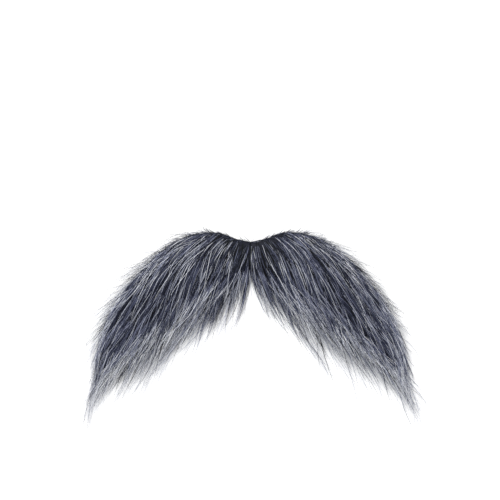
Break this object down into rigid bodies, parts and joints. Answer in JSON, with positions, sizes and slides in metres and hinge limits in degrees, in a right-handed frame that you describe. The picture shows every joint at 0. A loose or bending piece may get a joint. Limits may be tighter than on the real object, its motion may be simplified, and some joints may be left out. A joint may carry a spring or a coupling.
{
  "type": "fake moustache",
  "caption": "False moustache of long grey faux fur: two drooping wings combed outwards from a parting, on a knitted backing with a flat self-adhesive strip beneath.",
  "frame": {"origin": "middle of the bridge between the two wings, on the flat sticky face under the backing", "axes": "+X towards the wearer's left wing tip (right in the picture), +Y up towards the nose, +Z away from the face, out of the fur"},
  "size_m": [0.1454, 0.086, 0.0097],
  "materials": {
    "grey_fur": "long straight pile, slate grey with near-black roots and silver hairs",
    "backing_knit": "matt dark warp knit",
    "adhesive": "smooth release liner over soft self-adhesive tape, low sheen"
  },
  "bodies": {
    "root": {"adhesive_strip": "adhesive", "backing_cloth": "backing_knit", "right_fur": "grey_fur", "left_fur": "grey_fur"}
  },
  "joints": []
}
